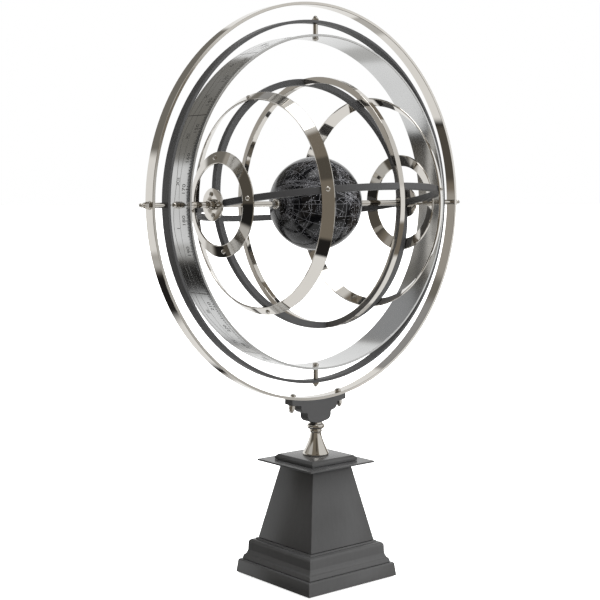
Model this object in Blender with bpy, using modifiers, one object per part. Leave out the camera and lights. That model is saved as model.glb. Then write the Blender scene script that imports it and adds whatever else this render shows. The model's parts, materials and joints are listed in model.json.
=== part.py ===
"""Armillary sphere on a square pedestal.

Frame: metres, +Z up, origin on the floor under the middle of the base. The polar
axle lies along X, and the fixed outer ring stands in the XZ plane.
"""
import math

import bmesh
import bpy
from mathutils import Matrix, Vector

MM = 0.001
GAP = 0.3 * MM                     # clearance between pieces that touch
MERGE = 0.0001

# Driving dimensions
CENTRE_HEIGHT = 529 * MM           # middle of all the rings above the floor
RING_RADIUS = 275 * MM             # outside of the fixed outer ring
RING_STEPS = 64                    # facets round a large ring
CAGE_TURN = math.radians(-8)       # how the inner cage rests, turned about X

# Rings: outside radius, radial thickness, width along the ring's own axis
OUTER_RING = (RING_RADIUS, 4 * MM, 17 * MM)
MIDDLE_RING = (251 * MM, 4 * MM, 15 * MM)
WIDE_BAND = (230 * MM, 3 * MM, 50 * MM)

# Inner cage: square bars, with flat bands bent round them
CAGE_RADIUS = 174 * MM
BAR = 8.5 * MM
BAND_STAND_OFF = 0.5 * MM          # bent bands clear the bars by this much
BAND_WIDTH = 17 * MM
BAND_THICKNESS = 2.5 * MM
TROPIC_LATITUDE = math.radians(35)
POLAR_LATITUDE = math.radians(69.5)
POLE_CUT = 6.5 * MM                # bars stop this far from the axle's centre line

# Axle, hubs and globe
AXLE_RADIUS = 4 * MM
AXLE_BORE = 4.3 * MM               # bore of what sits on the axle
HUB_RADIUS = 21.75 * MM
HUB_THICKNESS = 3 * MM
COLLAR_RADIUS = 7 * MM
COLLAR_LENGTH = 7 * MM
GLOBE_RADIUS = 65 * MM
GLOBE_WALL = 3 * MM

# M5 fasteners
SHANK_RADIUS = 2.5 * MM
HOLE_RADIUS = 2.8 * MM
HEAD_RADIUS = 4.5 * MM
HEAD_HEIGHT = 3.6 * MM
HEX_RADIUS = 8 * MM / math.sqrt(3)  # corner radius of an 8 mm hexagon
SLEEVE_RADIUS = 3.5 * MM
WASHER_RADIUS = 5.5 * MM
WASHER_THICKNESS = 1 * MM

# Base: half widths and heights of each tier
PAD_HEIGHT = 2 * MM
PAD_RADIUS = 10 * MM
SLAB = (81.3 * MM, 79.3 * MM, 21.4 * MM)          # bottom half, top half, top height
MOULDING_TOP = 52.8 * MM
PEDESTAL = (58.5 * MM, 34.6 * MM, 164.2 * MM)     # bottom half, top half, top height
PLATE = (59.1 * MM, 2.5 * MM)                     # half width, thickness
BLOCK = (41.5 * MM, 37.7 * MM, 7.5 * MM)          # bottom half, top half, height
ROD_RADIUS = 3 * MM
ROD_BORE = 3.4 * MM

# Column
STEM_FOOT = PEDESTAL[2] + PLATE[1] + BLOCK[2] + 2 * GAP
STEM_TOP = 221.5 * MM
SADDLE_HALF = 49.5 * MM
SADDLE_WIDTH = 16.5 * MM
SADDLE_WING = 7.5 * MM             # thickness of the saddle's ends, under the ring
SADDLE_BOLT_OFFSET = 42 * MM       # along X, on each side of the column
SADDLE_SEAT = RING_RADIUS + GAP + SADDLE_WING   # nuts sit this far from the centre
SPIGOT_RADIUS = 4 * MM

CENTRE = Vector((0, 0, CENTRE_HEIGHT))
TO_MINUS_Y = Matrix.Rotation(math.pi / 2, 4, "X")  # turns a shape's Z axis to -Y


def remove_everything():
    for obj in list(bpy.data.objects):
        bpy.data.objects.remove(obj, do_unlink=True)


def make_collection(name):
    collection = bpy.data.collections.new(name)
    bpy.context.scene.collection.children.link(collection)
    return collection


remove_everything()
PARTS = make_collection("armillary_sphere")
CUTTERS = make_collection("cutters")


def make_material(name, colour, roughness, metallic):
    material = bpy.data.materials.new(name)
    material.use_nodes = True
    shader = material.node_tree.nodes["Principled BSDF"]
    shader.inputs["Base Color"].default_value = (*colour, 1)
    shader.inputs["Roughness"].default_value = roughness
    shader.inputs["Metallic"].default_value = metallic
    return material


NICKEL = make_material("polished_nickel", (0.60, 0.58, 0.54), 0.12, 1)
CHARCOAL = make_material("charcoal_paint", (0.055, 0.055, 0.058), 0.45, 0)
BASE_PAINT = make_material("base_paint", (0.075, 0.075, 0.078), 0.6, 0)
GLOBE_PAINT = make_material("globe_lacquer", (0.012, 0.012, 0.014), 0.25, 0)
STEEL = make_material("plain_steel", (0.45, 0.45, 0.45), 0.35, 1)
FELT = make_material("felt", (0.03, 0.03, 0.03), 0.9, 0)


def add_object(name, mesh, material, matrix=None, collection=PARTS):
    obj = bpy.data.objects.new(name, mesh)
    collection.objects.link(obj)
    if material:
        mesh.materials.clear()
        mesh.materials.append(material)
    if matrix:
        obj.matrix_world = matrix
    return obj


def mesh_from(bm, name):
    mesh = bpy.data.meshes.new(name)
    bmesh.ops.recalc_face_normals(bm, faces=bm.faces)
    bm.to_mesh(mesh)
    bm.free()
    return mesh


def smooth(mesh):
    mesh.shade_smooth()
    mesh.set_sharp_from_angle(angle=math.radians(35))


def turned(name, profile, material, steps=16, matrix=None, closed=False):
    """A profile of (radius, height) points, top to bottom, turned about Z."""
    mesh = bpy.data.meshes.new(name)
    count = len(profile)
    edges = [(i, i + 1) for i in range(count - 1)]
    if closed:
        edges.append((count - 1, 0))
    mesh.from_pydata([(radius, 0, height) for radius, height in profile], edges, [])
    obj = add_object(name, mesh, material, matrix)
    screw = obj.modifiers.new("Turn", "SCREW")
    screw.steps = steps
    screw.render_steps = steps
    screw.use_merge_vertices = True
    screw.merge_threshold = MERGE
    screw.use_smooth_shade = True
    return obj


def apply_modifiers(obj):
    """Replace an object's mesh by what its modifiers make of it."""
    graph = bpy.context.evaluated_depsgraph_get()
    mesh = bpy.data.meshes.new_from_object(obj.evaluated_get(graph))
    obj.modifiers.clear()
    old = obj.data
    obj.data = mesh
    bpy.data.meshes.remove(old)
    smooth(mesh)
    return mesh


def rod_cutter(name, radius, start, end, segments=12):
    """A hidden cylinder from start to end, used to bore holes."""
    start = Vector(start)
    end = Vector(end)
    bm = bmesh.new()
    bmesh.ops.create_cone(bm, cap_ends=True, segments=segments, radius1=radius,
                          radius2=radius, depth=(end - start).length)
    turn = (end - start).to_track_quat("Z", "Y").to_matrix().to_4x4()
    matrix = Matrix.Translation((start + end) / 2) @ turn
    return hide_cutter(add_object(name, mesh_from(bm, name), None, matrix, CUTTERS))


def box_cutter(name, size, matrix):
    bm = bmesh.new()
    bmesh.ops.create_cube(bm, size=1)
    bmesh.ops.scale(bm, vec=size, verts=bm.verts)
    return hide_cutter(add_object(name, mesh_from(bm, name), None, matrix, CUTTERS))


def hide_cutter(cutter):
    cutter.hide_render = True
    cutter.display_type = "WIRE"
    return cutter


def cut(target, cutter, operation="DIFFERENCE"):
    boolean = target.modifiers.new("Cut", "BOOLEAN")
    boolean.object = cutter
    boolean.operation = operation
    boolean.solver = "EXACT"


# ---------------------------------------------------------------- base

def square_tier(name, tiers, material):
    """A square turned shape: (half width, height) points from top to bottom."""
    corner = math.sqrt(2)
    profile = [(0, tiers[0][1])]
    profile += [(half * corner, height) for half, height in tiers]
    profile.append((0, tiers[-1][1]))
    matrix = Matrix.Rotation(math.pi / 4, 4, "Z")
    obj = turned(name, profile, material, 4, matrix)
    apply_modifiers(obj)
    return obj


def arc_points(centre, radius, start, end, count):
    """Points on an arc in the (radius, height) plane, angles in degrees."""
    points = []
    for i in range(count + 1):
        angle = math.radians(start + (end - start) * i / count)
        points.append((centre[0] + radius * math.cos(angle),
                       centre[1] + radius * math.sin(angle)))
    return points


def build_base():
    slab_bottom, slab_top, slab_height = SLAB
    edge = 2.5 * MM
    tiers = arc_points((slab_top - edge, slab_height - edge), edge, 90, 10, 3)
    tiers.append((slab_bottom, PAD_HEIGHT + GAP))
    slab = square_tier("base_slab", tiers, BASE_PAINT)

    # Stepped moulding: a fillet, a round shoulder, an upright face, then a cove.
    low = slab_height + GAP
    shoulder = MOULDING_TOP - 2 * MM
    tiers = [(60.8 * MM, MOULDING_TOP), (61.2 * MM, shoulder + 0.2 * MM)]
    tiers += arc_points((63.1 * MM, shoulder - 5.5 * MM), 5.5 * MM, 90, 0, 4)
    tiers.append((69 * MM, 35 * MM))
    tiers += arc_points((79 * MM, 35 * MM), 9.5 * MM, 190, 235, 3)
    tiers.append((75 * MM, low))
    moulding = square_tier("base_moulding", tiers, BASE_PAINT)

    bottom, top, height = PEDESTAL
    pedestal = square_tier("pedestal", [(top, height),
                                        (bottom, MOULDING_TOP + GAP)], BASE_PAINT)
    half, thick = PLATE
    plate_low = height + GAP
    plate = square_tier("cap_plate", [(half - 0.5 * MM, plate_low + thick),
                                      (half, plate_low + thick - 0.5 * MM),
                                      (half, plate_low)], BASE_PAINT)
    bottom, top, rise = BLOCK
    block_low = plate_low + thick + GAP
    block = square_tier("cap_block", [(top, block_low + rise),
                                      (bottom, block_low + rise * 0.5),
                                      (bottom, block_low)], BASE_PAINT)

    bore = rod_cutter("rod_bore", ROD_BORE, (0, 0, 0), (0, 0, 190 * MM))
    well = rod_cutter("nut_well", 10 * MM, (0, 0, 0), (0, 0, 12 * MM))
    cut(slab, well)
    for piece in (slab, moulding, pedestal, plate, block):
        cut(piece, bore)

    pad_place = 62 * MM
    for i, (x, y) in enumerate(((-1, -1), (1, -1), (1, 1), (-1, 1)), 1):
        matrix = Matrix.Translation((x * pad_place, y * pad_place, 0))
        turned(f"foot_pad_{i}", [(0, PAD_HEIGHT), (PAD_RADIUS, PAD_HEIGHT),
                                 (PAD_RADIUS, 0), (0, 0)], FELT, 16, matrix)


def build_tie_rod():
    seat = 12 * MM - GAP
    top = STEM_FOOT + 20 * MM
    turned("tie_rod", [(0, top), (ROD_RADIUS, top), (ROD_RADIUS, 4 * MM),
                       (0, 4 * MM)], STEEL, 12)
    turned("tie_rod_washer", [(8 * MM, seat), (8 * MM, seat - 1.5 * MM),
                              (ROD_BORE, seat - 1.5 * MM), (ROD_BORE, seat)],
           STEEL, 16, closed=True)
    nut_top = seat - 1.5 * MM - GAP
    nut_height = 5 * MM
    bm = bmesh.new()
    bmesh.ops.create_cone(bm, cap_ends=True, segments=6, radius1=5.8 * MM,
                          radius2=5.8 * MM, depth=nut_height)
    matrix = Matrix.Translation((0, 0, nut_top - nut_height / 2))
    nut = add_object("tie_rod_nut", mesh_from(bm, "tie_rod_nut"), STEEL, matrix)
    bore = rod_cutter("nut_bore", ROD_BORE, (0, 0, 0), (0, 0, 20 * MM))
    cut(nut, bore)


# -------------------------------------------------------------- column

def build_stem():
    """Turned stem: spigot, bead, thin ring, then a flare to the foot."""
    spigot_top = STEM_TOP + 9 * MM
    neck = 8.7 * MM
    profile = [(0, spigot_top), (SPIGOT_RADIUS, spigot_top), (SPIGOT_RADIUS, STEM_TOP),
               (neck, STEM_TOP)]
    profile += arc_points((8.5 * MM, STEM_TOP - 5.8 * MM), 4 * MM, 75, -75, 5)
    ring_top = STEM_TOP - 11.3 * MM
    flare_top = STEM_TOP - 14.6 * MM
    waist = 7.6 * MM
    profile += [(8 * MM, ring_top + 0.5 * MM), (8.8 * MM, ring_top),
                (8.8 * MM, ring_top - 2 * MM), (waist, flare_top)]
    foot_radius = 18.8 * MM
    foot_top = STEM_FOOT + 3 * MM
    for i in range(1, 8):
        part = i / 7
        radius = waist + (foot_radius - 0.4 * MM - waist) * part ** 1.4
        profile.append((radius, flare_top + (foot_top - flare_top) * part))
    profile += [(foot_radius, STEM_FOOT + 1.8 * MM), (foot_radius - 0.6 * MM, STEM_FOOT),
                (0, STEM_FOOT)]
    stem = turned("stem", profile, NICKEL, 20)
    low = STEM_FOOT - 5 * MM
    cut(stem, rod_cutter("stem_bore", ROD_BORE, (0, 0, low),
                         (0, 0, STEM_FOOT + 21 * MM)))


def saddle_outline():
    """Half outline of the saddle: (x, z) from the ring down to the stem."""
    hollow = RING_RADIUS + GAP
    points = []
    for i in range(9):
        x = SADDLE_HALF * i / 8
        points.append((x, CENTRE_HEIGHT - math.sqrt(hollow ** 2 - x ** 2)))
    lean = math.asin(SADDLE_BOLT_OFFSET / RING_RADIUS)
    seat_x = SADDLE_SEAT * math.sin(lean)
    seat_z = CENTRE_HEIGHT - SADDLE_SEAT * math.cos(lean)
    for x in (SADDLE_HALF, 33.5 * MM):
        points.append((x, seat_z + (x - seat_x) * math.tan(lean)))
    points += arc_points((24.5 * MM, 246.2 * MM), 9 * MM, 0, -90, 5)
    points.append((22.4 * MM, 236.4 * MM))
    points += arc_points((12.4 * MM, 232.5 * MM), 9.2 * MM, 12, -82, 5)
    points += [(9.5 * MM, STEM_TOP + 1.4 * MM), (8.5 * MM, STEM_TOP + GAP)]
    return points


def saddle_bolt_frame(side):
    """Frame at a saddle bolt, Z pointing away from the ring's centre."""
    lean = math.asin(SADDLE_BOLT_OFFSET / RING_RADIUS) * side
    direction = Vector((math.sin(lean), 0, -math.cos(lean)))
    turn = direction.to_track_quat("Z", "Y").to_matrix().to_4x4()
    return Matrix.Translation(CENTRE) @ turn, direction


def build_saddle():
    half = saddle_outline()
    outline = [(-x, z) for x, z in reversed(half[1:])] + half
    curve = bpy.data.curves.new("saddle", "CURVE")
    curve.dimensions = "2D"
    curve.fill_mode = "BOTH"
    curve.extrude = SADDLE_WIDTH / 2
    spline = curve.splines.new("POLY")
    spline.points.add(len(outline) - 1)
    for point, (x, z) in zip(spline.points, outline):
        point.co = (x, z, 0, 1)
    spline.use_cyclic_u = True
    shape = bpy.data.objects.new("saddle_curve", curve)
    PARTS.objects.link(shape)
    graph = bpy.context.evaluated_depsgraph_get()
    mesh = bpy.data.meshes.new_from_object(shape.evaluated_get(graph))
    bm = bmesh.new()
    bm.from_mesh(mesh)
    bmesh.ops.remove_doubles(bm, verts=bm.verts, dist=MERGE / 10)
    bpy.data.meshes.remove(mesh)
    bpy.data.objects.remove(shape, do_unlink=True)
    saddle = add_object("saddle", mesh_from(bm, "saddle"), CHARCOAL, TO_MINUS_Y)
    bpy.context.view_layer.update()
    cut(saddle, rod_cutter("spigot_bore", SPIGOT_RADIUS + GAP,
                           (0, 0, STEM_TOP - 5 * MM), (0, 0, STEM_TOP + 10 * MM)))
    ring_out = OUTER_RING[0]
    for side, word in ((-1, "left"), (1, "right")):
        frame, direction = saddle_bolt_frame(side)
        start = CENTRE + direction * (ring_out - 10 * MM)
        end = CENTRE + direction * (ring_out + 25 * MM)
        cut(saddle, rod_cutter(f"saddle_hole_{word}", HOLE_RADIUS, start, end))


# ----------------------------------------------------------- fasteners

def bolt(name, frame, head_at, tip_at):
    """Round-headed bolt along the frame's Z: head below head_at, tip at tip_at."""
    crown = head_at - HEAD_HEIGHT
    profile = [(0, tip_at), (SHANK_RADIUS, tip_at), (SHANK_RADIUS, head_at),
               (HEAD_RADIUS, head_at), (HEAD_RADIUS, head_at - 0.8 * MM),
               (3.6 * MM, crown + 0.9 * MM), (1.8 * MM, crown), (0, crown)]
    return turned(name, profile, NICKEL, 12, frame)


def sleeve(name, frame, low, high):
    profile = [(SLEEVE_RADIUS, high), (SLEEVE_RADIUS, low), (HOLE_RADIUS, low),
               (HOLE_RADIUS, high)]
    return turned(name, profile, NICKEL, 12, frame, closed=True)


def washer(name, frame, low):
    profile = [(WASHER_RADIUS, low + WASHER_THICKNESS), (WASHER_RADIUS, low),
               (HOLE_RADIUS, low), (HOLE_RADIUS, low + WASHER_THICKNESS)]
    return turned(name, profile, NICKEL, 12, frame, closed=True)


def hex_cap(name, cap_profile, hex_height, bore_depth):
    """Mesh of a hexagon nut with a turned cap, blind bored, seated at height 0."""
    bm = bmesh.new()
    bmesh.ops.create_cone(bm, cap_ends=True, segments=6, radius1=HEX_RADIUS,
                          radius2=HEX_RADIUS, depth=hex_height,
                          matrix=Matrix.Translation((0, 0, hex_height / 2)))
    nut = add_object(name, mesh_from(bm, name), NICKEL)
    cap = turned(f"{name}_cap", cap_profile, NICKEL, 12)
    apply_modifiers(cap)
    CUTTERS.objects.link(hide_cutter(cap))
    PARTS.objects.unlink(cap)
    cut(nut, cap, "UNION")
    cut(nut, rod_cutter(f"{name}_bore", HOLE_RADIUS, (0, 0, -5 * MM), (0, 0, bore_depth)))
    bpy.context.view_layer.update()
    mesh = apply_modifiers(nut)
    mesh.name = name
    bpy.data.objects.remove(nut, do_unlink=True)
    return mesh


def dome_profile(radius, base, top):
    profile = []
    for i in range(5):
        angle = math.radians(90 - 90 * i / 4)
        profile.append((radius * math.cos(angle),
                        base + (top - base) * math.sin(angle)))
    profile[0] = (0, top)
    return profile + [(radius, base - 1 * MM), (0, base - 1 * MM)]


def cap_nut_mesh():
    return hex_cap("cap_nut", dome_profile(3.7 * MM, 4.7 * MM, 10 * MM),
                   4.5 * MM, 7 * MM)


def dome_nut_mesh():
    return hex_cap("dome_nut", dome_profile(3.3 * MM, 2.8 * MM, 6.6 * MM),
                   2.6 * MM, 3 * MM)


def finial_nut_mesh():
    ball = 3 * MM
    middle = 10 * MM
    neck = 1.9 * MM
    shoulder = 6 * MM
    profile = [(0, middle + ball)]
    profile += arc_points((0, middle), ball, 60, -45, 5)
    profile += [(neck, shoulder + 0.6 * MM), (3.7 * MM, shoulder), (3.7 * MM, 3 * MM),
                (0, 3 * MM)]
    return hex_cap("finial_nut", profile, 4 * MM, 5 * MM)


def axis_frame(axis, sign):
    """Frame at the rings' centre with Z along +-X or +-Z."""
    direction = Vector((sign, 0, 0)) if axis == "X" else Vector((0, 0, sign))
    turn = direction.to_track_quat("Z", "Y").to_matrix().to_4x4()
    return Matrix.Translation(CENTRE) @ turn


def along(frame, height):
    return frame @ Matrix.Translation((0, 0, height))


def build_saddle_bolts(cap_nut):
    outside, thickness, _ = OUTER_RING
    seat = SADDLE_SEAT
    for side, word in ((-1, "left"), (1, "right")):
        frame, _ = saddle_bolt_frame(side)
        bolt(f"saddle_bolt_{word}", frame, outside - thickness - 2 * GAP,
             seat + WASHER_THICKNESS + 6 * MM)
        washer(f"saddle_washer_{word}", frame, seat + GAP)
        place = along(frame, seat + WASHER_THICKNESS + 2 * GAP)
        add_object(f"saddle_cap_nut_{word}", cap_nut, None, place)


def build_side_pivots(finial_nut):
    """Bolts along X that carry the middle ring in the outer ring."""
    outside, thickness, _ = OUTER_RING
    head_at = MIDDLE_RING[0] - MIDDLE_RING[1] - GAP
    for sign, word in ((-1, "left"), (1, "right")):
        frame = axis_frame("X", sign)
        bolt(f"side_bolt_{word}", frame, head_at, outside + 5 * MM)
        sleeve(f"side_sleeve_{word}", frame, MIDDLE_RING[0] + 0.4 * MM,
               outside - thickness - 0.6 * MM)
        washer(f"side_washer_{word}", frame, outside + GAP)
        place = along(frame, outside + WASHER_THICKNESS + 2 * GAP)
        add_object(f"side_finial_{word}", finial_nut, None, place)


def build_band_pivots(dome_nut):
    """Bolts along Z that carry the wide band in the middle ring."""
    outside, thickness, _ = MIDDLE_RING
    head_at = WIDE_BAND[0] - WIDE_BAND[1] - GAP
    for sign, word in ((1, "top"), (-1, "bottom")):
        frame = axis_frame("Z", sign)
        bolt(f"band_bolt_{word}", frame, head_at, outside + 2.7 * MM)
        sleeve(f"band_sleeve_{word}", frame, WIDE_BAND[0] + 0.4 * MM,
               outside - thickness - 0.6 * MM)
        add_object(f"band_nut_{word}", dome_nut, None, along(frame, outside + GAP))


# --------------------------------------------------------------- rings

def hoop(name, ring, material):
    """A flat strip bent into a ring about the Y axis."""
    outside, thickness, width = ring
    inside = outside - thickness
    half = width / 2
    profile = [(outside, half), (outside, -half), (inside, -half), (inside, half)]
    matrix = Matrix.Translation(CENTRE) @ TO_MINUS_Y
    return turned(name, profile, material, RING_STEPS, matrix, closed=True)


def cross_holes(ring_object, axis, radius, reach):
    for sign in (-1, 1):
        frame = axis_frame(axis, sign)
        start = frame @ Vector((0, 0, reach - 12 * MM))
        end = frame @ Vector((0, 0, reach + 12 * MM))
        name = f"{ring_object.name}_hole_{axis}{'p' if sign > 0 else 'n'}"
        cut(ring_object, rod_cutter(name, radius, start, end))


def build_rings():
    outer = hoop("outer_ring", OUTER_RING, NICKEL)
    cross_holes(outer, "X", HOLE_RADIUS, OUTER_RING[0])
    for side, word in ((-1, "left"), (1, "right")):
        _, direction = saddle_bolt_frame(side)
        start = CENTRE + direction * (OUTER_RING[0] - 12 * MM)
        end = CENTRE + direction * (OUTER_RING[0] + 12 * MM)
        cut(outer, rod_cutter(f"outer_ring_hole_{word}", HOLE_RADIUS, start, end))
    middle = hoop("middle_ring", MIDDLE_RING, CHARCOAL)
    cross_holes(middle, "X", HOLE_RADIUS, MIDDLE_RING[0])
    cross_holes(middle, "Z", HOLE_RADIUS, MIDDLE_RING[0])
    band = hoop("wide_band", WIDE_BAND, NICKEL)
    cross_holes(band, "X", HOLE_RADIUS, WIDE_BAND[0])
    cross_holes(band, "Z", HOLE_RADIUS, WIDE_BAND[0])


# ------------------------------------------------------ axle and globe

def build_axle(cap_nut):
    shoulder = WIDE_BAND[0] - WIDE_BAND[1] - 0.5 * MM
    tip = WIDE_BAND[0] + 6 * MM
    profile = [(0, tip), (SHANK_RADIUS, tip), (SHANK_RADIUS, shoulder),
               (AXLE_RADIUS, shoulder), (AXLE_RADIUS, -shoulder),
               (SHANK_RADIUS, -shoulder), (SHANK_RADIUS, -tip), (0, -tip)]
    turned("axle", profile, NICKEL, 16, axis_frame("X", 1))
    for sign, word in ((-1, "left"), (1, "right")):
        frame = axis_frame("X", sign)
        add_object(f"axle_nut_{word}", cap_nut, None, along(frame, WIDE_BAND[0] + GAP))
        hub_face = CAGE_RADIUS + GAP + HUB_THICKNESS + GAP
        collar(f"hub_collar_{word}", frame, hub_face, COLLAR_RADIUS)
        collar(f"globe_collar_{word}", frame, GLOBE_RADIUS + 0.5 * MM, COLLAR_RADIUS)


def collar(name, frame, low, radius):
    high = low + COLLAR_LENGTH
    bevel = 1 * MM
    profile = [(radius - bevel, high), (radius, high - bevel), (radius, low),
               (AXLE_BORE, low), (AXLE_BORE, high)]
    return turned(name, profile, NICKEL, 16, frame, closed=True)


def build_globe(frame):
    """A hollow ball, open at the poles where the axle passes."""
    inner = GLOBE_RADIUS - GLOBE_WALL
    steps = 12
    profile = []
    for radius, flip in ((GLOBE_RADIUS, 1), (inner, -1)):
        pole = math.degrees(math.acos(AXLE_BORE / radius))
        profile += arc_points((0, 0), radius, flip * pole, -flip * pole, steps)
    return turned("globe", profile, GLOBE_PAINT, 24, frame, closed=True)


# ---------------------------------------------------------- inner cage

def bent_band(name, latitude, steps, frame):
    """A flat band laid round the cage along a line of latitude."""
    near = CAGE_RADIUS + BAND_STAND_OFF
    far = near + BAND_THICKNESS
    radial = Vector((math.cos(latitude), math.sin(latitude)))
    across = Vector((math.sin(latitude), -math.cos(latitude)))
    half = BAND_WIDTH / 2
    corners = [radial * far - across * half, radial * far + across * half,
               radial * near + across * half, radial * near - across * half]
    profile = [(corner.x, corner.y) for corner in corners]
    return turned(name, profile, NICKEL, steps, frame, closed=True)


def half_meridian(name, frame, turn):
    """Half of a square-bar ring from pole to pole, notched over the equator."""
    inside = CAGE_RADIUS - BAR
    start = math.asin(POLE_CUT / inside)
    bm = bmesh.new()
    section = []
    for radius, side in ((inside, -1), (CAGE_RADIUS, -1), (CAGE_RADIUS, 1), (inside, 1)):
        section.append(bm.verts.new((radius * math.sin(start), side * BAR / 2,
                                     radius * math.cos(start))))
    edges = [bm.edges.new((section[i], section[(i + 1) % 4])) for i in range(4)]
    bmesh.ops.spin(bm, geom=section + edges, cent=(0, 0, 0), axis=(0, 1, 0),
                   angle=math.pi - 2 * start, steps=RING_STEPS // 2)
    bmesh.ops.holes_fill(bm, edges=bm.edges, sides=4)
    matrix = frame @ Matrix.Rotation(turn, 4, "Z")
    obj = add_object(name, mesh_from(bm, name), CHARCOAL, matrix)
    notch_low = CAGE_RADIUS - BAR / 2 - GAP / 2
    notch_high = CAGE_RADIUS + 5 * MM
    size = (notch_high - notch_low, BAR * 2, BAR + 2 * GAP)
    place = matrix @ Matrix.Translation(((notch_high + notch_low) / 2, 0, 0))
    cut(obj, box_cutter(f"{name}_notch", size, place))
    return obj


def build_equator(frame):
    half = BAR / 2
    inside = CAGE_RADIUS - BAR
    profile = [(CAGE_RADIUS, half), (CAGE_RADIUS, -half), (inside, -half), (inside, half)]
    ring = turned("equator_ring", profile, NICKEL, RING_STEPS, frame, closed=True)
    notch_high = CAGE_RADIUS - BAR / 2 + GAP / 2
    notch_low = inside - 5 * MM
    size = (notch_high - notch_low, BAR + 2 * GAP, BAR * 2)
    for i in range(4):
        place = (frame @ Matrix.Rotation(i * math.pi / 2, 4, "Z")
                 @ Matrix.Translation(((notch_high + notch_low) / 2, 0, 0)))
        cut(ring, box_cutter(f"equator_notch_{i + 1}", size, place))
    return ring


def hub_disc(name, frame):
    low = CAGE_RADIUS + GAP
    high = low + HUB_THICKNESS
    bevel = 0.8 * MM
    profile = [(HUB_RADIUS - bevel, high), (HUB_RADIUS, high - bevel), (HUB_RADIUS, low),
               (AXLE_BORE, low), (AXLE_BORE, high)]
    return turned(name, profile, NICKEL, 24, frame, closed=True)


def build_cage():
    """Everything that turns together about the axle, under one empty."""
    hinge = bpy.data.objects.new("cage_hinge", None)
    PARTS.objects.link(hinge)
    hinge.location = CENTRE
    pieces = []
    frame = axis_frame("X", 1)
    for i in range(4):
        pieces.append(half_meridian(f"meridian_{i + 1}", frame, i * math.pi / 2))
    pieces.append(build_equator(frame))
    for sign, word in ((-1, "left"), (1, "right")):
        side = axis_frame("X", sign)
        pieces.append(bent_band(f"tropic_ring_{word}", TROPIC_LATITUDE, 48, side))
        pieces.append(bent_band(f"polar_ring_{word}", POLAR_LATITUDE, 32, side))
        pieces.append(hub_disc(f"hub_disc_{word}", side))
    bpy.context.view_layer.update()
    cage_cutters = [c for c in CUTTERS.objects
                    if c.name.startswith(("meridian_", "equator_"))]
    for piece in pieces + cage_cutters:
        world = piece.matrix_world.copy()
        piece.parent = hinge
        piece.matrix_parent_inverse = Matrix.Translation(-CENTRE)
        piece.matrix_basis = world
    hinge.rotation_euler.x = CAGE_TURN


def main():
    build_base()
    build_tie_rod()
    build_stem()
    build_saddle()
    cap_nut = cap_nut_mesh()
    build_saddle_bolts(cap_nut)
    build_side_pivots(finial_nut_mesh())
    build_band_pivots(dome_nut_mesh())
    build_rings()
    build_axle(cap_nut)
    build_globe(axis_frame("X", 1))
    build_cage()
    bpy.context.view_layer.update()


main()
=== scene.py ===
# %% [markdown]
# # Armillary sphere
# The real object is a set of nested metal rings that turn inside each other round a
# small black globe, on a square painted pedestal. The mechanical model already fixes
# every size, place and joint. This file gives each piece its fine surface: rounded
# edges, smooth curves, engraving, screws, and the nickel, paint and lacquer.

# %% Load the frame
import bmesh
import bpy
import json
import math
from mathutils import Matrix, Vector

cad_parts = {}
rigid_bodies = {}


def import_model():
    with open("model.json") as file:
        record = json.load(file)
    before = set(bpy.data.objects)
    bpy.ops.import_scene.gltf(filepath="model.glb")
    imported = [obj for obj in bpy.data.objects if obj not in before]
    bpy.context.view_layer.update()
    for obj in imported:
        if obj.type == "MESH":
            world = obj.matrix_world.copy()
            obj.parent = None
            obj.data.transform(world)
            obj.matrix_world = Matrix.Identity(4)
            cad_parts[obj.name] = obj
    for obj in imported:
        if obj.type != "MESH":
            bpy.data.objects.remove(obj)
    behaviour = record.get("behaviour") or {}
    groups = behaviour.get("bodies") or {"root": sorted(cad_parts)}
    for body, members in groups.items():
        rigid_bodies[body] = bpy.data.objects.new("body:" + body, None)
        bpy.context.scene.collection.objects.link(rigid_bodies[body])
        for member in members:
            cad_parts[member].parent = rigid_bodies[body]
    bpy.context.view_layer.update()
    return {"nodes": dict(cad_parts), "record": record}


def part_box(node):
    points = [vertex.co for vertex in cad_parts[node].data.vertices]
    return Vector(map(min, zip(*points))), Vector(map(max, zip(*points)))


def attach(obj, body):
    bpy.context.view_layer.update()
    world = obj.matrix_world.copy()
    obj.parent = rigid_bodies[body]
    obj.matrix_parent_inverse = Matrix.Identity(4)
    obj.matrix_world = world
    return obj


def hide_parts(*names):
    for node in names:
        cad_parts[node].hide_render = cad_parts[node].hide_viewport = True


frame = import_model()
record = frame["record"]

# %% [markdown]
# A piece that stands for a CAD node rides on the node's own body and takes its slot.
# Reading both from the record means that no piece can be put on the wrong body.

# %% Bodies, slots and the centre of the rings
MM = 0.001
GAP = 0.3 * MM
BODY_OF = {node: body for body, nodes in record["behaviour"]["bodies"].items()
           for node in nodes}
SLOT_OF = {part["node"]: part["material_slot"] for part in record["subparts"]}


def middle(node):
    low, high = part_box(node)
    return (low + high) / 2


def size(node):
    low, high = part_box(node)
    return high - low


CENTRE = middle("outer_ring")
print("ring centre:", [round(v, 4) for v in CENTRE], "pieces:", len(BODY_OF))

# %% [markdown]
# ## Camera
# The view is from the front left, about five degrees above level. The camera is
# placed by turning it round the rings' centre and sliding it sideways, because a
# product picture keeps the lens unshifted and moves the camera instead.

# %% Camera
YAW = math.radians(39.7)
PITCH = math.radians(4.95)
ROLL = math.radians(-0.12)
RING_RADIUS = size("outer_ring").x / 2
DISTANCE = 6.529 * RING_RADIUS
SLIDE_RIGHT = -0.0796 * RING_RADIUS
SLIDE_UP = -0.4888 * RING_RADIUS

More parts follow.
